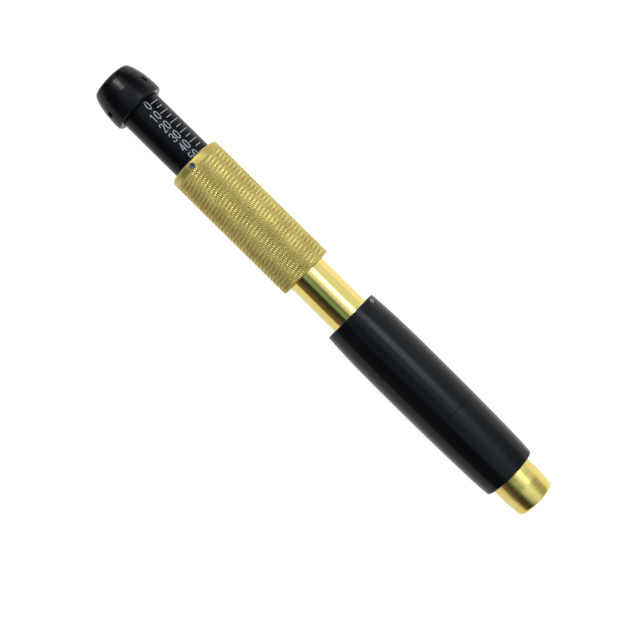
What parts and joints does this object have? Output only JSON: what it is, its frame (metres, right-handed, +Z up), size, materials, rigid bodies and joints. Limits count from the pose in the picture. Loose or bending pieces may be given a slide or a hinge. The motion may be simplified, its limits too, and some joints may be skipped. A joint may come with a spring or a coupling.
{
  "type": "needle-free dosing pen",
  "caption": "Spring-driven needle-free dosing pen with a sliding cocking grip, rotating dose scale and push-button trigger knob.",
  "frame": {"origin": "centre of the nose face, on the pen's axis, at the mouth of the ampoule socket", "axes": "+X out of the nose along the axis, +Z up through the side with the index dot and the scale"},
  "size_m": [0.2052, 0.0228, 0.0228],
  "materials": {
    "satin_gold": "satin gold anodised, knurled on the sleeve",
    "polished_gold": "mirror-polished gold anodised",
    "black_anodised": "satin black anodised",
    "steel": "ground and turned",
    "dark_steel": "blued",
    "bearing_bronze": "turned bronze",
    "seal_rubber": "matt",
    "white_polymer": "turned polymer"
  },
  "bodies": {
    "barrel": {"nose_socket": "satin_gold", "socket_seal": "seal_rubber", "rod_guide": "white_polymer", "hammer_bumper": "white_polymer", "main_tube": "polished_gold", "grip_spring_stop": "steel", "knurled_sleeve": "satin_gold", "index_screw": "dark_steel", "click_ball": "steel", "dose_nut": "bearing_bronze", "sleeve_o_ring": "seal_rubber"},
    "grip": {"grip_front_shell": "black_anodised", "grip_rear_shell": "black_anodised", "grip_rear_bush": "bearing_bronze", "cocking_ring": "bearing_bronze", "cocking_pin_a": "steel", "cocking_pin_b": "steel", "grip_screw": "steel", "grip_return_spring": "steel"},
    "hammer": {"hammer": "steel", "latch_stem": "steel", "plunger_rod": "steel", "rod_tip": "white_polymer", "main_spring": "steel"},
    "dose_carrier": {"thrust_washer": "bearing_bronze"},
    "dose_tube": {"graduated_tube": "black_anodised", "dose_screw": "steel", "ball_cage": "steel", "tail_plug": "bearing_bronze"},
    "trigger": {"trigger_knob": "black_anodised", "knob_screw_1": "dark_steel", "knob_screw_2": "dark_steel", "knob_screw_3": "dark_steel", "trigger_tube": "steel", "trigger_stop_ring": "steel", "trigger_return_spring": "steel"},
    "latch_ball_1": {"latch_ball_1": "steel"},
    "latch_ball_2": {"latch_ball_2": "steel"},
    "latch_ball_3": {"latch_ball_3": "steel"}
  },
  "joints": [
    {"name": "grip_slide", "type": "slide", "parent": "barrel", "child": "grip", "axis": [-1, 0, 0], "range_m": [0, 0.0205], "stiffness_N_per_m": 200, "springref_m": -0.004, "deforming": ["grip_return_spring"]},
    {"name": "hammer_stroke", "type": "slide", "parent": "grip", "child": "hammer", "axis": [-1, 0, 0], "range_m": [0, 0.027], "stiffness_N_per_m": 1500, "springref_m": -0.004, "deforming": ["main_spring"]},
    {"name": "dose_slide", "type": "slide", "parent": "barrel", "child": "dose_carrier", "axis": [1, 0, 0], "range_m": [0, 0.023]},
    {"name": "dose_turn", "type": "hinge", "parent": "dose_carrier", "child": "dose_tube", "pos_m": [-0.15, 0, 0], "axis": [1, 0, 0], "range_deg": [0, 1800]},
    {"name": "trigger_press", "type": "slide", "parent": "dose_tube", "child": "trigger", "axis": [1, 0, 0], "range_m": [0, 0.0023], "stiffness_N_per_m": 800, "springref_m": -0.001, "deforming": ["trigger_return_spring"]},
    {"name": "latch_ball_1_lift", "type": "slide", "parent": "dose_tube", "child": "latch_ball_1", "axis": [0, 0, 1], "range_m": [0, 0.0006]},
    {"name": "latch_ball_2_lift", "type": "slide", "parent": "dose_tube", "child": "latch_ball_2", "axis": [0, 0.866, -0.5], "range_m": [0, 0.0006]},
    {"name": "latch_ball_3_lift", "type": "slide", "parent": "dose_tube", "child": "latch_ball_3", "axis": [0, -0.866, -0.5], "range_m": [0, 0.0006]}
  ],
  "couplings": [
    {"joint": "dose_turn", "follows": "dose_slide", "rad_per_m": 1365.9},
    {"joint": "latch_ball_1_lift", "follows": "trigger_press", "ratio": 0.2608},
    {"joint": "latch_ball_2_lift", "follows": "trigger_press", "ratio": 0.2608},
    {"joint": "latch_ball_3_lift", "follows": "trigger_press", "ratio": 0.2608}
  ]
}
